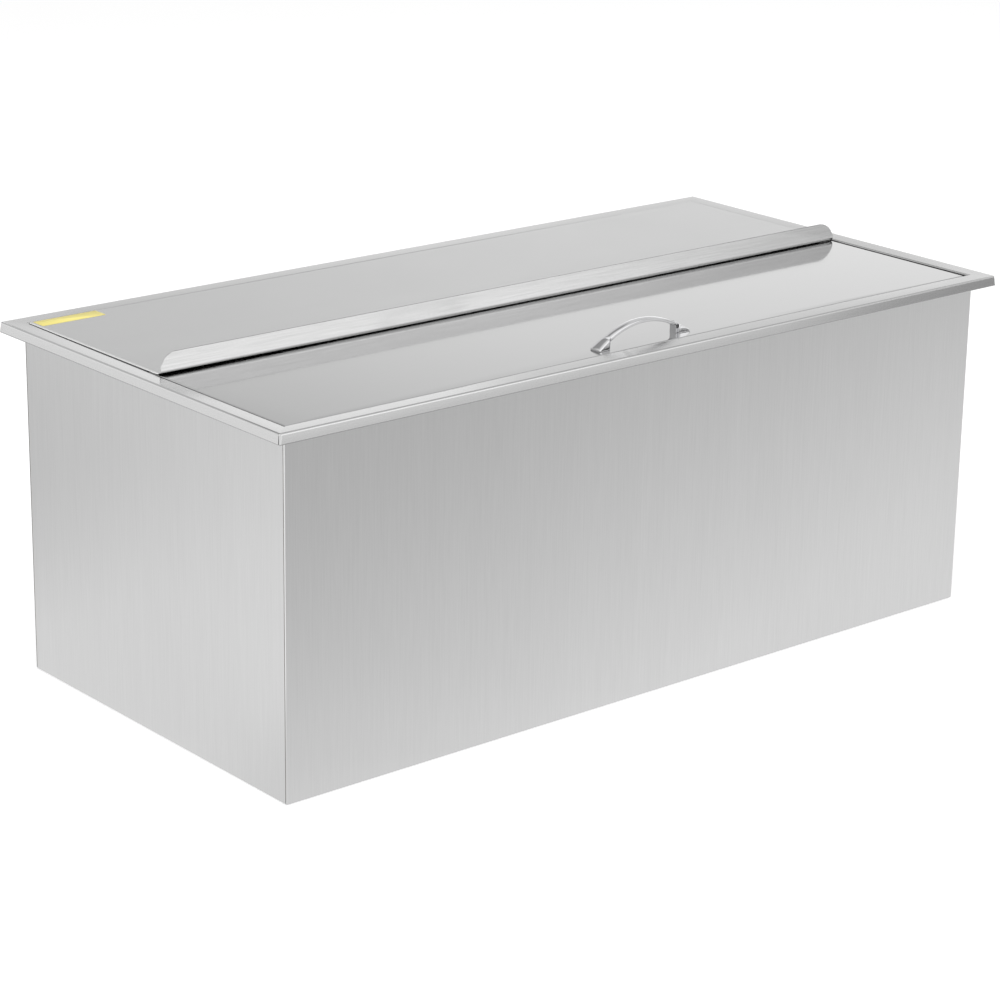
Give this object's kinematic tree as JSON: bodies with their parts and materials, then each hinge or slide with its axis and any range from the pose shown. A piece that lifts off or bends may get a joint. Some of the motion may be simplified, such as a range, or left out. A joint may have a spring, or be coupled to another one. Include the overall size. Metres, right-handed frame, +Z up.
{
  "type": "ice chest",
  "caption": "Drop-in insulated stainless ice chest with a flanged rim, a front cover that slides back under a lipped rear cover, and a plugged drain.",
  "frame": {"origin": "centre of the base, on the surface that the chest stands on", "axes": "+X along the long front to the right, +Y from the front to the rear, +Z up"},
  "size_m": [0.9144, 0.4572, 0.3759],
  "materials": {
    "brushed_steel": "straight-grained brushed stainless sheet",
    "bright_steel": "bright stainless sheet, nearly a mirror",
    "chrome": "polished chrome plate",
    "zinc_steel": "zinc-plated steel, satin",
    "foam": "rigid closed-cell foam",
    "rubber": "matt black rubber",
    "fibre": "brown fibre washer",
    "label": "bare yellow film label"
  },
  "bodies": {
    "chest": {"rim_frame": "brushed_steel", "casing_front": "brushed_steel", "casing_rear": "brushed_steel", "casing_left": "brushed_steel", "casing_right": "brushed_steel", "casing_bottom": "brushed_steel", "inner_liner": "brushed_steel", "insulation_front": "foam", "insulation_rear": "foam", "insulation_left": "foam", "insulation_right": "foam", "insulation_floor": "foam", "drain_body": "bright_steel", "drain_gasket": "rubber", "drain_washer": "fibre", "drain_locknut": "zinc_steel"},
    "front_lid": {"front_cover": "bright_steel", "cover_handle": "chrome", "handle_screw_left": "zinc_steel", "handle_screw_right": "zinc_steel", "handle_washer_left": "zinc_steel", "handle_washer_right": "zinc_steel"},
    "rear_lid": {"rear_cover": "brushed_steel"},
    "drain_stopper": {"drain_plug": "rubber", "drain_plug_ring": "chrome"}
  },
  "joints": [
    {"name": "front_cover_slide", "type": "slide", "parent": "chest", "child": "front_lid", "axis": [0, 1, 0], "range_m": [0, 0.16]},
    {"name": "rear_cover_lift", "type": "slide", "parent": "chest", "child": "rear_lid", "axis": [0, 0, 1], "range_m": [0, 0.15]},
    {"name": "drain_plug_lift", "type": "slide", "parent": "chest", "child": "drain_stopper", "axis": [0, 0, 1], "range_m": [0, 0.1]}
  ]
}
